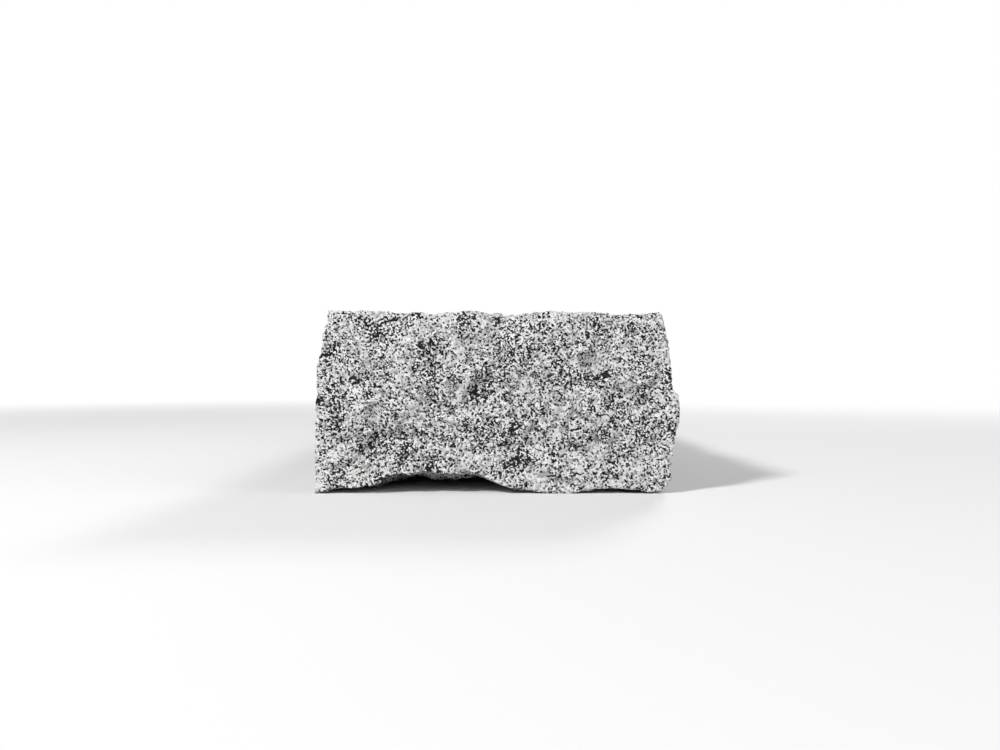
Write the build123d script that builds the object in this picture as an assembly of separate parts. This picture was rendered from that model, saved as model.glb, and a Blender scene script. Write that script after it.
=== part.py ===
from build123d import *
import math
import os

# A rough-split granite kerb stone, lying on its wide side as it is stacked.
# X is its width, Y its length and Z its height. Its near end faces -Y. Millimetres.

# The block that the stone is split to
length = 1000.0
width = 300.0
height = 150.0

# Relief of the split faces: a slow swell with shorter, shallower swells on it, each of
# them headed another way
face_relief = 8.0
end_relief = 4.5
swell_length = 360.0
swell_shares = (1.0, 0.47, 0.27, 0.185)
swell_weights = (1.0, 0.65, 0.65, 0.5)
swell_headings = (1.1, 3.5, 5.9, 2.0)
sheet_step = 20.0

# Where the swells of each face start, in turns, so that no two faces are alike
left_turn = 0.13
right_turn = 0.41
top_turn = 0.77
near_turn = 0.29
far_turn = 0.58

# The left side is nearly upright below its crease and leans in above it
left_crease_height = 104.0
left_crease_fall = 2.4
left_top_fall = 11.5

# The right side has a ridge along it and falls back below and above
right_ridge_height = 70.0
right_bed_fall = 12.0
right_top_fall = 13.0

# The crease and the ridge wander up and down along the stone
wander = 9.0
wander_length = 430.0

# Shallow hollows in the bed, either side of the flat strip that it rests on
bed_hollow_radius = 620.0
bed_hollow_depth = 2.2
bed_hollow_offset = 92.0
bed_hollow_spacing = 190.0
smallest_bed_hollow = 0.5

# Chips along the arrises: the largest, and the smallest as a share of it
chip_depth = 5.5
smallest_chip_depth = 0.3
chip_radius = 62.0
smallest_chip_radius = 0.6
chip_spacing = 86.0

# Flakes broken off the near end. Each point of a profile is a place along an arris and
# the flake's bite there. The hollow and the top flake are measured from the left, the
# heel from the right, and the shoulder from the top. A flake dies out over its run.
hollow_flake = (
    (-4, -3), (9, 2), (20, 4.4), (31, 4.7), (42, 6.3), (51, 8.4), (58, 12.6), (66, 16),
    (78, 17), (94, 17.2), (114, 16.4), (134, 15.2), (143, 11.2), (159, 6.2), (184, 1.2), (198, -3),
)
hollow_run = 150.0
heel_flake = ((0, 16), (12, 6), (21, 1.6), (34, 3.2), (58, 4.2), (73, 4), (84, 1.8), (96, -3))
heel_run = 80.0
shoulder_flake = (
    (-8, 28), (2, 18), (11, 13.6), (24, 11.6), (36, 9.3), (49, 8), (66, 6.2), (70, 1.6), (76, -4),
)
shoulder_run = 110.0
top_flake = (
    (4, -1.5), (18, 0.3), (40, 0.1), (60, 1), (73, 3.2), (87, 1.8), (97, 4.6), (112, 2), (134, 3.2),
    (158, 5.4), (176, 4.2), (197, 1.2), (208, 2.2), (218, 0.9), (236, 2.8), (275, 3), (294, -2),
)
top_run = 70.0

# Past the end of its run a flake has risen this far out of the stone
flake_lift = 2.0

# The swells of the sides and the top start behind the flakes
near_end_reach = 90.0

# Flakes off the long arrises: the largest has this profile, and each is a copy of it
# at its own share of that size
side_flake = ((-72, -6), (-52, 5), (-24, 10), (10, 13), (38, 8), (57, 4.5), (72, -6))
side_flake_run = 60.0
side_flake_spacing = 270.0
smallest_side_flake = 0.5

# Where the uneven places of the chips, flakes and hollows start, in turns, how far on
# the next arris starts, and the steps from one place and size to the next
chip_turn = 0.17
flake_turn = 0.62
hollow_turn = 0.35
next_turn = 0.29
place_step = 0.618
size_step = 0.755
least_shift = 0.15

# How far the rough block stands proud of the finished one before it is split, and how
# far the cutting tools reach beyond the finished one
allowance = 20.0
margin = 40.0

half = length / 2
right, left = (1, 0, 0), (-1, 0, 0)
front, back = (0, -1, 0), (0, 1, 0)
up, down = (0, 0, 1), (0, 0, -1)


def swells(u, v, turn):
    """Relief of a split face at u along it and v across it, from -1 to 1."""
    total = 0.0
    for share, weight, heading in zip(swell_shares, swell_weights, swell_headings):
        angle = heading + math.tau * turn
        along = (u * math.cos(angle) + v * math.sin(angle)) / (share * swell_length)
        across = (v * math.cos(angle) - u * math.sin(angle)) / (share * swell_length)
        total += weight * math.sin(math.tau * (along + heading))
        total += weight * math.sin(math.tau * (across + turn))
    return total / (2 * sum(swell_weights))


def fall(u, v, turn, relief):
    """How far a split face lies behind its block's side at (u, v)."""
    return relief * (1 - swells(u, v, turn)) / 2


def long_fall(y, across, turn):
    """The same for a long face, whose relief starts from nothing at the near end."""
    behind = max(0, y + half)
    return fall(y, across, turn, face_relief) * (1 - math.exp(-((behind / near_end_reach) ** 2)))


def lean(y, z, crease_height, crease_fall, edge_height, edge_fall):
    """How far the plane through a side's crease and its edge lies behind the side."""
    crease = crease_height + wander * math.sin(math.tau * (y + half) / wander_length)
    return crease_fall + (edge_fall - crease_fall) * (z - crease) / (edge_height - crease)


def left_low_x(y, z):
    return -width / 2 + lean(y, z, left_crease_height, left_crease_fall, 0, 0) + long_fall(y, z, left_turn)


def left_top_x(y, z):
    behind = lean(y, z, left_crease_height, left_crease_fall, height, left_top_fall)
    return -width / 2 + behind + long_fall(y, z, left_turn)


def right_low_x(y, z):
    return width / 2 - lean(y, z, right_ridge_height, 0, 0, right_bed_fall) - long_fall(y, z, right_turn)


def right_top_x(y, z):
    behind = lean(y, z, right_ridge_height, 0, height, right_top_fall)
    return width / 2 - behind - long_fall(y, z, right_turn)


def top_z(x, y):
    return height - long_fall(y, x, top_turn)


def near_y(x, z):
    return -half + fall(x, z, near_turn, end_relief)


def far_y(x, z):
    return half - fall(x, z, far_turn, end_relief)


def stations(low, high):
    """Evenly spaced places from one side of the block's margin to the other."""
    reach = high - low + 2 * margin
    count = math.ceil(reach / sheet_step)
    return [low - margin + reach * i / count for i in range(count + 1)]


def waste(point, us, vs, outward):
    """Everything outside one split face, as a solid to cut away."""
    rows = [[point(u, v) for u in us] for v in vs]
    sheet = Face.make_surface_from_array_of_points(rows, min_deg=3, max_deg=5)
    return Solid.extrude(sheet, Vector(outward) * 2 * margin)


def scoop(point, outward, radius, depth):
    """A ball that bites `depth` into the stone at a point of its surface."""
    centre = Vector(point) + Vector(outward).normalized() * (radius - depth)
    return Pos(*centre) * Sphere(radius)


def uneven(low, high, spacing, turn):
    """Uneven places from low to high, each with a number from 0 to 1 for its size."""
    count = max(2, round((high - low) / spacing))
    for i in range(count):
        shift = least_shift + (1 - 2 * least_shift) * ((turn + place_step * i) % 1.0)
        yield low + (high - low) * (i + shift) / count, (turn + size_step * i) % 1.0


def sized(smallest, vary):
    """A size from the smallest share of the largest up to 1."""
    return smallest + (1 - smallest) * vary


def chips(corner, low, high, turn):
    """Chips along one arris: corner(place) is a point of it and its outward direction."""
    made = []
    for place, vary in uneven(low, high, chip_spacing, turn):
        point, outward = corner(place)
        depth = chip_depth * sized(smallest_chip_depth, vary**2)
        made.append(scoop(point, outward, chip_radius * sized(smallest_chip_radius, vary), depth))
    return made


def flake(start, along, into, inward, profile, run):
    """A flake off the arris through start: its profile there, dying out over its run."""

    def section(behind, share):
        """The outline to cut away this far behind the arris, at this share of the run."""
        points = [(place, bite * (1 - share) - flake_lift * share) for place, bite in profile]
        (first, _), (last, _) = points[0], points[-1]
        curve = Spline(*points)
        outside = Polyline(curve @ 1, (last, -2 * margin), (first, -2 * margin), curve @ 0)
        centre = Vector(start) + Vector(inward) * behind
        plane = Plane(centre, x_dir=along, z_dir=Vector(along).cross(Vector(into)))
        return (plane * make_face(curve + outside)).face()

    return loft([section(-margin, 0), section(0, 0), section(run, 1)], ruled=True)


def side_flakes(side, edge_z, into, turn):
    """The flakes off one long arris, each a smaller or larger copy of the side flake."""
    inward = left if side > 0 else right
    for y, vary in uneven(-half + hollow_run, half, side_flake_spacing, turn):
        size = sized(smallest_side_flake, vary)
        profile = [(place * size, bite * size) for place, bite in side_flake]
        yield flake((side * width / 2, y, edge_z), back, into, inward, profile, size * side_flake_run)


# Split the two sides, the top and the ends, and leave the bed a plane
lengthwise = stations(-half, half)
crosswise = stations(-width / 2, width / 2)
upright = stations(0, height)

rough = (width + 2 * allowance, length + 2 * allowance, height + allowance)
stone = Box(*rough, align=(Align.CENTER, Align.CENTER, Align.MIN))
stone -= waste(lambda y, z: (left_low_x(y, z), y, z), lengthwise, upright, left)
stone -= waste(lambda y, z: (left_top_x(y, z), y, z), lengthwise, upright, left)
stone -= waste(lambda y, z: (right_low_x(y, z), y, z), lengthwise, upright, right)
stone -= waste(lambda y, z: (right_top_x(y, z), y, z), lengthwise, upright, right)
stone -= waste(lambda x, y: (x, y, top_z(x, y)), crosswise, lengthwise, up)
stone -= waste(lambda x, z: (x, near_y(x, z), z), crosswise, upright, front)
stone -= waste(lambda x, z: (x, far_y(x, z), z), crosswise, upright, back)

# Break the flakes off the near end, then a few off the long arrises
flakes = [
    flake((-width / 2, -half, 0), right, up, back, hollow_flake, hollow_run),
    flake((width / 2, -half, 0), left, up, back, heel_flake, heel_run),
    flake((width / 2, -half, height), down, left, back, shoulder_flake, shoulder_run),
    flake((-width / 2, -half, height), right, down, back, top_flake, top_run),
]
long_arrises = ((-1, height, down), (1, height, down), (-1, 0, up), (1, 0, up))
for order, (side, edge_z, into) in enumerate(long_arrises):
    flakes += side_flakes(side, edge_z, into, flake_turn + next_turn * order)
for piece in flakes:
    stone -= piece

# Where each arris is and which way it points. The near end's have their flakes already.
start = -half + near_end_reach / 2
arrises = [
    (lambda y: ((left_top_x(y, height), y, top_z(-width / 2, y)), (-1, 0, 1)), start, half),
    (lambda y: ((right_top_x(y, height), y, top_z(width / 2, y)), (1, 0, 1)), start, half),
    (lambda y: ((left_low_x(y, 0), y, 0), (-1, 0, -1)), start, half),
    (lambda y: ((right_low_x(y, 0), y, 0), (1, 0, -1)), start, half),
    (lambda x: ((x, far_y(x, height), top_z(x, half)), (0, 1, 1)), -width / 2, width / 2),
    (lambda x: ((x, far_y(x, 0), 0), (0, 1, -1)), -width / 2, width / 2),
    (lambda z: ((left_low_x(half, z), far_y(-width / 2, z), z), (-1, 1, 0)), 0, height),
    (lambda z: ((right_low_x(half, z), far_y(width / 2, z), z), (1, 1, 0)), 0, height),
]
scoops = []
for order, (corner, low, high) in enumerate(arrises):
    scoops += chips(corner, low, high, chip_turn + next_turn * order)
for y, vary in uneven(-half + hollow_run, half, bed_hollow_spacing, hollow_turn):
    x = math.copysign(bed_hollow_offset, vary - 0.5)
    depth = bed_hollow_depth * sized(smallest_bed_hollow, vary)
    scoops.append(scoop((x, y, 0), down, bed_hollow_radius, depth))
stone -= scoops

# Centre it on its own outline, with its bed on the floor
middle = stone.bounding_box().center()
stone = Pos(-middle.X, -middle.Y, 0) * stone

os.makedirs("parts", exist_ok=True)
export_step(stone, "parts/kerb_stone.step")
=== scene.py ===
# %% [markdown]
# This lesson dresses a rough-split granite kerb stone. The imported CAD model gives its
# true shape and size, and everything here is fitted to that frame, in metres.
# The box of the frame is kept, because the finished stone has to stay inside it.

# %% Load the frame
import math
import bmesh
import bpy
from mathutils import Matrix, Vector, noise
from mathutils.bvhtree import BVHTree


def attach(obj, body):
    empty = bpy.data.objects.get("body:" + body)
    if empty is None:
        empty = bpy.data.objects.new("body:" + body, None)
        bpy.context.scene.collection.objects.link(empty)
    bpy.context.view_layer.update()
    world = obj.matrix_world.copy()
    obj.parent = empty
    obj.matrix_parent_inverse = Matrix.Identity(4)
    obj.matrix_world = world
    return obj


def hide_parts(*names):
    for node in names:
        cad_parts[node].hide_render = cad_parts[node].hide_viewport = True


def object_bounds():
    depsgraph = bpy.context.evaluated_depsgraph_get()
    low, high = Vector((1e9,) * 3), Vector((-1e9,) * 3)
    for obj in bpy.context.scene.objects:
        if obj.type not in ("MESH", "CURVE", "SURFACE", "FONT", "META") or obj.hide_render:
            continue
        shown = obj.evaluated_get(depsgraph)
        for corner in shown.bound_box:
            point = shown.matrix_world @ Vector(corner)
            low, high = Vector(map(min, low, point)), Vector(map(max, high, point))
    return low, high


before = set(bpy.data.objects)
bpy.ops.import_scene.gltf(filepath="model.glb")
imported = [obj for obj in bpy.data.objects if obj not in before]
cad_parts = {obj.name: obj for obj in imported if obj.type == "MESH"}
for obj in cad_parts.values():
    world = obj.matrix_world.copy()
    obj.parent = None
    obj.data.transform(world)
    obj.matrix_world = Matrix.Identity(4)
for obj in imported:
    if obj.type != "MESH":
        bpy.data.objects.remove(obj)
cad_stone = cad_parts["kerb_stone"]
cad_low, cad_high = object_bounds()
print("frame box", tuple(cad_low), tuple(cad_high))

# %% [markdown]
# The photo looks level and square at the near end of the stone, so its camera does too.
# A pixel there is a known length, because the end is as wide as the frame says. The
# distance sets how far the camera stands back, and the lens follows from the two.

# %% Camera
# Where the photo has the two sides of the stone's end, and its lowest point
image_width = 1000
image_height = 750
end_left_px = 313.5
end_right_px = 681.5
floor_px = 494.0
camera_distance = 0.68

pixel = (cad_high.x - cad_low.x) / (end_right_px - end_left_px)
camera = bpy.data.objects.new("camera", bpy.data.cameras.new("camera"))
bpy.context.scene.collection.objects.link(camera)
camera.location = (
    (cad_low.x + cad_high.x) / 2 + (image_width / 2 - (end_left_px + end_right_px) / 2) * pixel,
    cad_low.y - camera_distance,
    cad_low.z + (floor_px - image_height / 2) * pixel,
)
camera.rotation_euler = (math.radians(90), 0, 0)
camera.data.lens = camera.data.sensor_width * camera_distance / (image_width * pixel)
bpy.context.scene.camera = camera
print("a pixel is", round(pixel * 1000, 3), "mm, the lens", round(camera.data.lens, 1), "mm")

# %% [markdown]
# Shader trees read best when each node takes one line. The first helper adds a node, sets
# its options, and fills each input with a value, or links it where it is given a socket.
# The others are short ways to write the nodes that come up most.

# %% Helpers for shader nodes
def node(tree, kind, options, inputs):
    """Adds one shader node and fills its inputs with values or links."""
    made = tree.nodes.new("ShaderNode" + kind)
    for name, value in options.items():
        setattr(made, name, value)
    for name, value in inputs.items():
        if isinstance(value, bpy.types.NodeSocket):
            tree.links.new(value, made.inputs[name])
        else:
            made.inputs[name].default_value = value
    return made


def maths(tree, operation, *values):
    """The number that a Math node makes of its values or sockets."""
    return node(tree, "Math", {"operation": operation}, dict(enumerate(values))).outputs[0]


def vector_maths(tree, operation, *values):
    """The vector that a Vector Math node makes of its vectors."""
    return node(tree, "VectorMath", {"operation": operation}, dict(enumerate(values))).outputs[0]


def new_material(name):
    """An empty material with its output node: (material, tree, output)."""
    material = bpy.data.materials.new(name)
    material.use_nodes = True
    material.node_tree.nodes.clear()
    return material, material.node_tree, node(material.node_tree, "OutputMaterial", {}, {})


# %% [markdown]
# The studio is a pale floor that reaches far out. A backdrop wall would show its edge, so
# the floor itself fades into pure white instead, but only for the camera. The stone still
# sees a plain pale floor, and its shadow still falls on it.

# %% Floor
floor_size = 60.0
floor_fade_start = 0.8
floor_fade_end = 2.4
floor_grey = 0.78
white = (1, 1, 1, 1)
full_strength = 1.0

bpy.ops.mesh.primitive_plane_add(size=floor_size)
floor = bpy.context.object
floor.name = "studio_floor"
pale_floor, tree, out = new_material("pale_floor")
place = node(tree, "TexCoord", {}, {}).outputs["Object"]
reach = node(tree, "VectorMath", {"operation": "LENGTH"}, {0: place}).outputs["Value"]
fade = node(tree, "MapRange", {"interpolation_type": "SMOOTHSTEP"}, {
    "Value": reach,
    "From Min": floor_fade_start,
    "From Max": floor_fade_end,
}).outputs[0]
camera_rays = node(tree, "LightPath", {}, {}).outputs["Is Camera Ray"]
far_off = maths(tree, "MULTIPLY", fade, camera_rays)
matt = node(tree, "BsdfDiffuse", {}, {"Color": (floor_grey, floor_grey, floor_grey, 1)})
glow = node(tree, "Emission", {}, {"Color": white, "Strength": full_strength})
mixed = node(tree, "MixShader", {}, {0: far_off, 1: matt.outputs[0], 2: glow.outputs[0]})
tree.links.new(mixed.outputs[0], out.inputs["Surface"])
floor.data.materials.append(pale_floor)
print("floor of", floor_size, "m, all white from", floor_fade_end, "m out")

# %% [markdown]
# The surround is white too, so no horizon shows behind the stone. It looks white to the
# camera and to what mirrors or passes light, but lights the stone at a lower level, which
# keeps its greys about as they are written.

# %% Surround
surround_light = 0.32

world = bpy.data.worlds.new("surround")
world.use_nodes = True
world.node_tree.nodes.clear()
bpy.context.scene.world = world
tree = world.node_tree
rays = node(tree, "LightPath", {}, {}).outputs
seen = maths(tree, "MAXIMUM", rays["Is Camera Ray"], rays["Is Transmission Ray"])
seen = maths(tree, "MAXIMUM", seen, rays["Is Glossy Ray"])
strength = node(tree, "MapRange", {}, {
    "Value": seen,
    "To Min": surround_light,
    "To Max": full_strength,
}).outputs[0]
sky = node(tree, "Background", {}, {"Color": white, "Strength": strength})
out = node(tree, "OutputWorld", {}, {})
tree.links.new(sky.outputs[0], out.inputs["Surface"])
print("surround lights the stone at", surround_light)

# %% [markdown]
# Rough stone needs a light that rakes across it, or its grain looks flat. A fairly small
# lamp stands high on the left of the near end, where the photo's light comes from. A second
# one rakes the right side and the far end from behind, and a wide weak one fills the rest,
# so that no side is left dark.

# %% Lamps
# Each lamp has the place where it stands, the point that it faces, a size and a power
lamps = {
    "key": ((-1.7, -2.1, 2.0), (0, -0.3, 0.08), 0.45, 82),
    "fill": ((2.6, -1.4, 1.6), (0, -0.2, 0.08), 2.0, 20),
    "back": ((1.4, 2.6, 2.2), (0, 0.2, 0.08), 0.8, 60),
}


def soft_lamp(name, place, target, size, power):
    """Adds a square area lamp that faces its target."""
    lamp = bpy.data.lights.new(name, "AREA")
    lamp.shape = "SQUARE"
    lamp.size = size
    lamp.energy = power
    holder = bpy.data.objects.new(name, lamp)
    bpy.context.scene.collection.objects.link(holder)
    holder.location = place
    aim = Vector(target) - Vector(place)
    holder.rotation_euler = aim.to_track_quat("-Z", "Y").to_euler()


for name, setting in lamps.items():
    soft_lamp(name, *setting)
print("lamps:", ", ".join(lamps))

# %% [markdown]
# The stone's own surface is finer than the CAD model, which has only its large forms.
# One way would be to subdivide the CAD mesh, but its triangles are long and uneven.
# A box grid of even cells is better: it is laid round the stone and then cast onto it.
# Its rows draw together towards the near end, which the camera sees from close by.

# %% A grid round the block
bed_cell = 0.0062
# The first rows behind the near end, as distances from it
near_rows = (0.0024, 0.006, 0.012)


def places(low, high, first=()):
    """Grid places from low to high: some given steps from low, then even cells."""
    start = low + (first[-1] if first else 0)
    count = round((high - start) / bed_cell)
    near = [low + step for step in (0, *first[:-1])] if first else []
    return near + [start + (high - start) * i / count for i in range(count + 1)]


def box_skin(grid):
    """The corners and quads of a box's skin, for its grid places along X, Y and Z."""
    corners = {}
    quads = []
    for axis in range(3):
        u, v = (axis + 1) % 3, (axis + 2) % 3
        for end in (0, len(grid[axis]) - 1):
            for a in range(len(grid[u]) - 1):
                for b in range(len(grid[v]) - 1):
                    ring = [(a, b), (a + 1, b), (a + 1, b + 1), (a, b + 1)]
                    if end == 0:
                        ring.reverse()
                    quad = []
                    for p, q in ring:
                        corner = [end, end, end]
                        corner[u], corner[v] = p, q
                        quad.append(corners.setdefault(tuple(corner), len(corners)))
                    quads.append(quad)
    return [[grid[axis][i] for axis, i in enumerate(corner)] for corner in corners], quads


grid = [
    places(cad_low.x, cad_high.x),
    places(cad_low.y, cad_high.y, near_rows),
    places(cad_low.z, cad_high.z),
]
points, quads = box_skin(grid)
skin = bpy.data.meshes.new("kerb_stone_skin")
skin.from_pydata(points, [], quads)
print("coarse grid of", len(points), "points")

# %% [markdown]
# The bed faces the floor and shows only inside the hollow, so it keeps the coarse cells.
# Every other face gets cells of half that size, and the near end of a quarter. Cutting
# whole edges keeps the skin closed, because a neighbouring face shares each cut edge.

# %% Finer cells above the bed
side_cuts = 1
near_end_cuts = 1
# Points this close to a plane count as on it
touching = 1e-6

fine = bmesh.new()
fine.from_mesh(skin)
above_bed = [
    edge for edge in fine.edges
    if any(face.calc_center_median().z > cad_low.z + touching for face in edge.link_faces)
]
bmesh.ops.subdivide_edges(fine, edges=above_bed, cuts=side_cuts, use_grid_fill=True)
at_near_end = [
    edge for edge in fine.edges
    if all(corner.co.y < cad_low.y + touching for corner in edge.verts)
]
bmesh.ops.subdivide_edges(fine, edges=at_near_end, cuts=near_end_cuts, use_grid_fill=True)
fine.to_mesh(skin)
fine.free()
print("grid of", len(skin.vertices), "points")

# %% [markdown]
# Each grid point is cast outwards from the stone's heart until it meets the CAD surface.
# The rays fan out towards the arrises, so the grid wraps round them without a seam.

# %% Cast the grid onto the CAD stone
heart_depth = 0.06

cad_faces = BVHTree.FromObject(cad_stone, bpy.context.evaluated_depsgraph_get())
heart_low = cad_low + Vector((heart_depth,) * 3)
heart_high = cad_high - Vector((heart_depth,) * 3)


def held_between(point, low, high):
    """The nearest point to this one that lies in a box."""
    return Vector([min(max(c, least), most) for c, least, most in zip(point, low, high)])


def outward(point):
    """Where the ray through this point of the box starts, and its direction."""
    start = held_between(point, heart_low, heart_high)
    return start, (point - start).normalized()


def arris_distance(point):
    """How far this point of the box is from the nearest edge of the box."""
    gaps = [min(c - low, high - c) for c, low, high in zip(point, cad_low, cad_high)]
    return sorted(gaps)[1]


casts = []
missed = 0
for vertex in skin.vertices:
    start, direction = outward(vertex.co)
    hit = cad_faces.ray_cast(start, direction)[0]
    if hit is None:
        missed += 1
        hit = vertex.co.copy()
    casts.append((hit, direction, arris_distance(vertex.co)))
print("cast", len(casts), "points,", missed, "missed")

# %% [markdown]
# Granite splits along its crystals, so its face is broken into small flat facets that
# lean this way and that, with little cliffs between them. Noise alone looks like putty.
# Leaning facets look right, in three sizes from two fingers wide down to a pea. Each is
# one cell of a Voronoi pattern, with a plane laid over it.

# %% Facets of a split face
# Each kind of facet has a size, a lean, a step between neighbours and a soft border
facet_kinds = (
    (0.034, 0.32, 0.06, 0.16),
    (0.014, 0.50, 0.12, 0.18),
    (0.0055, 0.80, 0.22, 0.25),
)
# These spread the facets' places apart in the noise, so that lean and step don't match
lean_spread = 7.31
step_spread = 5.17
# Noise vectors start from the clock unless they get a seed, and each run would differ
facet_seed = 2
noise.seed_set(facet_seed)


def facet_height(point, seed, tilt, step):
    """Height of one flat facet: a plane that leans at random, raised or sunk at random."""
    lean = noise.noise_vector(seed * lean_spread)
    return tilt * lean.dot(point - seed) + step * noise.noise(seed * step_spread)


def facets(point, size, tilt, step, softness):
    """Height of a surface broken into facets of that size."""
    scaled = point / size
    gaps, seeds = noise.voronoi(scaled)
    own = facet_height(scaled, seeds[0], tilt, step)
    other = facet_height(scaled, seeds[1], tilt, step)
    share = 0.5 + 0.5 * min(1, (gaps[1] - gaps[0]) / softness)
    return size * (own * share + other * (1 - share))


print("facets of", ", ".join(str(round(kind[0] * 1000, 1)) for kind in facet_kinds), "mm")

# %% [markdown]
# Towards an arris the facets die down, so that the stone keeps its outline, and the arris
# itself crumbles and chips a little. The near end keeps its arrises free of these chips,
# because the CAD stone has the real breaks there. A fine grain covers everything.

# %% Relief, with its arrises
swell_height = 0.0010
swell_size = 0.07
sink = 0.0005
grain_size = 0.0024
grain_height = 0.0011
grain_on_arris = 0.5
quiet_reach = 0.007
crumble_kind = (0.0040, 0.70, 0.24, 0.20)
crumble_reach = 0.0028
chip_height = 0.012
chip_size = 0.026
chip_reach = 0.009
chip_limit = 0.20
chip_free_length = 0.05
chip_place = Vector((9, 4, 2))


def quietness(arris):
    """The share of the relief left this far from an arris: none on it, all of it inside."""
    return 1 - math.exp(-arris / quiet_reach)


def relief(point, arris):
    """How far the split surface lies outside (+) or inside (-) the CAD surface."""
    broad = swell_height * noise.noise(point / swell_size) - sink
    for size, tilt, step, softness in facet_kinds:
        broad += facets(point, size, tilt, step, softness)
    quiet = quietness(arris)
    grain_share = grain_on_arris + (1 - grain_on_arris) * quiet
    grain = grain_height * noise.noise(point / grain_size) * grain_share
    crumble = facets(point, *crumble_kind) * math.exp(-arris / crumble_reach)
    behind = min(1, (point.y - cad_low.y) / chip_free_length)
    chip = max(0, noise.noise(point / chip_size + chip_place) - chip_limit) * behind
    return broad * quiet + grain + crumble - chip_height * chip * math.exp(-arris / chip_reach)


# %% [markdown]
# The finished stone may not leave the frame's box. Cutting it off at the box would leave
# flat patches, so a high spot of the CAD stone is pressed in first, to give its relief
# some room. This fades out towards the bed, which has to stay on the floor. What still
# lies outside after that is brought back to the box.

# %% Keep the relief inside the box
headroom = 0.0028
bed_slope = 0.7
bed_fade = 0.1


def pressed_in(point, direction, arris):
    """How far a high spot is pressed in, so that its relief isn't cut flat by the CAD box."""
    off_bed = min(1, max(0, (direction.z + bed_slope) / bed_fade))
    room = min(((high if d > 0 else low) - c) / d
               for c, d, low, high in zip(point, direction, cad_low, cad_high)
               if abs(d) > touching)
    return max(0, headroom - room) * quietness(arris) * off_bed


# %% [markdown]
# Where an arris was struck, its crystals are crushed and look white. How far they are
# crushed is kept for each point of the mesh as a number from 0 to 1, for the material to
# read. With that the points move to their places, and the sharpest edges stay sharp.

# %% Shape the skin
bruise_reach = 0.0022
bruise_size = 0.016
bruise_share = 0.45
bruise_contrast = 2
sharp_angle = 50


def bruise(point, arris):
    """How far the crystals are crushed to white: most of all in patches along an arris."""
    patch = min(1, max(0, bruise_share + bruise_contrast * noise.noise(point / bruise_size)))
    return patch * math.exp(-arris / bruise_reach)


stone = bpy.data.objects.new("kerb_stone_skin", skin)
bpy.context.scene.collection.objects.link(stone)
bruised = []
for vertex, (hit, direction, arris) in zip(skin.vertices, casts):
    height = relief(hit, arris) - pressed_in(hit, direction, arris)
    vertex.co = held_between(hit + direction * height, cad_low, cad_high)
    bruised.append(bruise(hit, arris))
skin.attributes.new("bruise", "FLOAT", "POINT").data.foreach_set("value", bruised)
skin.shade_smooth()
skin.set_sharp_from_angle(angle=math.radians(sharp_angle))
skin.calc_loop_triangles()
print("stone of", len(skin.loop_triangles), "triangles")

# %% [markdown]
# Granite is a fabric of crystals: white feldspar, grey quartz and black mica. A Voronoi
# pattern makes such a fabric, with its cell borders bent by noise. One node group holds
# it, and the material places that four times at its own sizes: for feldspar and quartz,
# for mica, for the clots where mica gathers, and for the grit of the broken surface.

# %% The crystals group
bend_detail = 2.0
middle = (0.5, 0.5, 0.5)


def crystals_group():
    """A shader group: crystals of a given size, with two random numbers and a tilt each."""
    tree = bpy.data.node_groups.new("crystals", "ShaderNodeTree")
    tree.interface.new_socket("Vector", in_out="INPUT", socket_type="NodeSocketVector")
    for name in ("Size", "Bend"):
        tree.interface.new_socket(name, in_out="INPUT", socket_type="NodeSocketFloat")
    for name in ("Random", "Other", "Height"):
        tree.interface.new_socket(name, in_out="OUTPUT", socket_type="NodeSocketFloat")
    given = tree.nodes.new("NodeGroupInput").outputs
    out = tree.nodes.new("NodeGroupOutput")
    scale = maths(tree, "DIVIDE", 1.0, given["Size"])
    wobble = node(tree, "TexNoise", {}, {
        "Vector": given["Vector"],
        "Scale": scale,
        "Detail": bend_detail,
    }).outputs["Color"]
    centred = vector_maths(tree, "SUBTRACT", wobble, middle)
    amount = maths(tree, "MULTIPLY", given["Size"], given["Bend"])
    shift = node(tree, "VectorMath", {"operation": "SCALE"}, {0: centred, "Scale": amount}).outputs[0]
    bent = vector_maths(tree, "ADD", given["Vector"], shift)
    cells = node(tree, "TexVoronoi", {}, {"Vector": bent, "Scale": scale}).outputs
    parts = node(tree, "SeparateColor", {}, {"Color": cells["Color"]}).outputs
    from_centre = vector_maths(tree, "SUBTRACT", bent, cells["Position"])
    lean = vector_maths(tree, "SUBTRACT", cells["Color"], middle)
    tilt = node(tree, "VectorMath", {"operation": "DOT_PRODUCT"}, {0: lean, 1: from_centre})
    tree.links.new(parts["Red"], out.inputs["Random"])
    tree.links.new(parts["Green"], out.inputs["Other"])
    tree.links.new(tilt.outputs["Value"], out.inputs["Height"])
    return tree


crystals = crystals_group()
print("crystals group of", len(crystals.nodes), "nodes")

# %% [markdown]
# Three more helpers serve the material: one places the group, one turns a crystal's random
# number into a colour, and one blends two colours. A painted texture would need a flat
# layout of the skin. These patterns fill space, so the grain runs on round each arris.

# %% Helpers for the granite
# A Mix node repeats its socket names, so those for colours are found by their places
mix_share = 0
mix_first = 6
mix_second = 7
mix_result = 2


def placed(tree, where, size, bend):
    """The outputs of one use of the crystals group."""
    made = tree.nodes.new("ShaderNodeGroup")
    made.node_tree = crystals
    tree.links.new(where, made.inputs["Vector"])
    made.inputs["Size"].default_value = size
    made.inputs["Bend"].default_value = bend
    return made.outputs


def ramp(tree, value, stops):
    """A colour ramp over its stops: (position, red, green, blue)."""
    made = node(tree, "ValToRGB", {}, {"Fac": value})
    elements = made.color_ramp.elements
    while len(elements) < len(stops):
        # A new stop may start anywhere, because the loop below puts it in its place
        elements.new(0.5)
    for element, (position, *colour) in zip(elements, stops):
        element.position = position
        element.color = (*colour, 1)
    return made.outputs["Color"]


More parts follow.
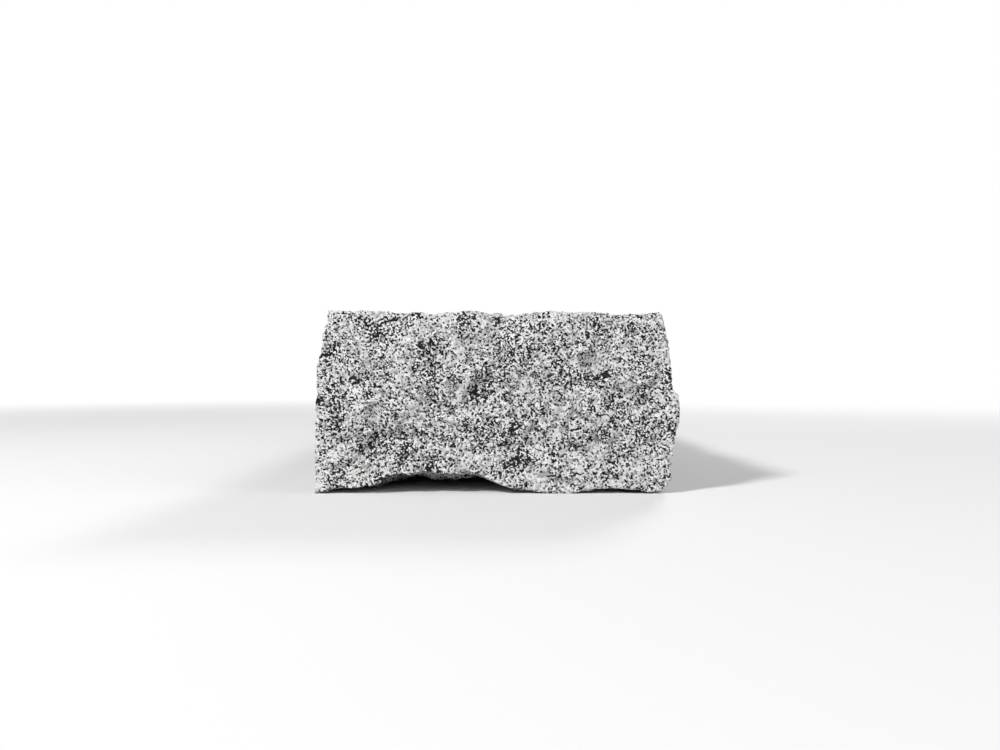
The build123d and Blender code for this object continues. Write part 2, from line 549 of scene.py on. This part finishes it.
def blended(tree, share, first, second):
    """A colour between two others, at a share from 0 to 1."""
    given = {mix_share: share, mix_first: first, mix_second: second}
    return node(tree, "Mix", {"data_type": "RGBA"}, given).outputs[mix_result]


# %% [markdown]
# The pale ground is quartz and feldspar, from grey to white, with the crushed white over
# it along the arrises. Its whites are pushed brighter than the minerals alone, partly as
# painted highlight. Mica lies on top in small black flakes, made darker than mica alone,
# partly as painted shade in the grain's pits. They gather in some places and are rare in
# others, and a few clots hold still more. The more the stone is crushed, the fewer flakes
# are left.

# %% The colour of the granite
pale_size = 0.0015
mica_size = 0.0013
crystal_bend = 0.9
clot_size = 0.007
clot_bend = 1.0
clot_share = 0.025
clot_extra = 0.35
gather_scale = 48.0
gather_detail = 4.0
gather_low = 0.36
gather_high = 0.66
fewest_flakes = 0.13
most_flakes = 0.55
# Partly painted highlight: the top stops are brighter than feldspar, standing in for the glints of a
# hard raking light
pale_stops_with_painted_highlight = (
    (0.0, 0.22, 0.22, 0.225),
    (0.12, 0.49, 0.49, 0.495),
    (0.25, 0.84, 0.84, 0.835),
    (0.46, 0.96, 0.955, 0.945),
    (1.0, 0.98, 0.975, 0.965),
)
# Partly painted shade: the flakes are darker than mica alone, standing in for micro-shadows in the
# grain's pits
flake_stops_with_painted_shade = (
    (0.0, 0.006, 0.006, 0.007),
    (1.0, 0.05, 0.05, 0.053),
)
crushed_white = (0.96, 0.955, 0.945, 1)

granite, tree, out = new_material("split_granite")
where = node(tree, "TexCoord", {}, {}).outputs["Object"]
pale = placed(tree, where, pale_size, crystal_bend)
mica = placed(tree, where, mica_size, crystal_bend)
clot = placed(tree, where, clot_size, clot_bend)
crushed = node(tree, "Attribute", {"attribute_name": "bruise"}, {}).outputs["Fac"]
ground_and_highlight = blended(tree, crushed, ramp(tree, pale["Random"], pale_stops_with_painted_highlight), crushed_white)
gather = node(tree, "TexNoise", {}, {
    "Vector": where,
    "Scale": gather_scale,
    "Detail": gather_detail,
}).outputs["Fac"]
limit = node(tree, "MapRange", {}, {
    "Value": gather,
    "From Min": gather_low,
    "From Max": gather_high,
    "To Min": fewest_flakes,
    "To Max": most_flakes,
}).outputs[0]
in_clot = maths(tree, "LESS_THAN", clot["Random"], clot_share)
limit = maths(tree, "MULTIPLY_ADD", in_clot, clot_extra, limit)
limit = maths(tree, "MULTIPLY", limit, maths(tree, "SUBTRACT", 1.0, crushed))
dark = maths(tree, "LESS_THAN", mica["Random"], limit)
colour = blended(tree, dark, ground_and_highlight, ramp(tree, mica["Other"], flake_stops_with_painted_shade))
print("crystals of", pale_size * 1000, "and", mica_size * 1000, "mm, clots of", clot_size * 1000, "mm")

# %% [markdown]
# The same crystals tilt the surface a little, so that some catch the light, and coarser
# grit roughens it. This is too fine for the mesh, so a Bump node does it. Each crystal has
# its own roughness. Broken stone is dull, so its shine is set low.

# %% The surface of the granite
grit_size = 0.0042
grit_bend = 0.8
grit_share = 0.4
bump_distance = 1.8
smoothest = 0.45
roughest = 0.9
shine = 0.1

grit = placed(tree, where, grit_size, grit_bend)
height = maths(tree, "ADD", pale["Height"], mica["Height"])
height = maths(tree, "MULTIPLY_ADD", grit["Height"], grit_share, height)
grain = node(tree, "Bump", {}, {
    "Strength": full_strength,
    "Distance": bump_distance,
    "Height": height,
}).outputs["Normal"]
rough = node(tree, "MapRange", {}, {
    "Value": pale["Other"],
    "To Min": smoothest,
    "To Max": roughest,
}).outputs[0]
surface = node(tree, "BsdfPrincipled", {}, {
    "Base Color": colour,
    "Roughness": rough,
    "Normal": grain,
    "Specular IOR Level": shine,
})
tree.links.new(surface.outputs[0], out.inputs["Surface"])
skin.materials.append(granite)
print("granite of", len(tree.nodes), "nodes")

# %% [markdown]
# The finished skin rides on the stone's one body, and stands for the CAD stone in every
# picture. The CAD stone stays for the motion checks, unseen.

# %% Tie the skin to the frame
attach(stone, "root")
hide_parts("kerb_stone")

# %% [markdown]
# Colours are shown as plain sRGB.

# %% Finish
bpy.context.scene.view_settings.view_transform = "Standard"
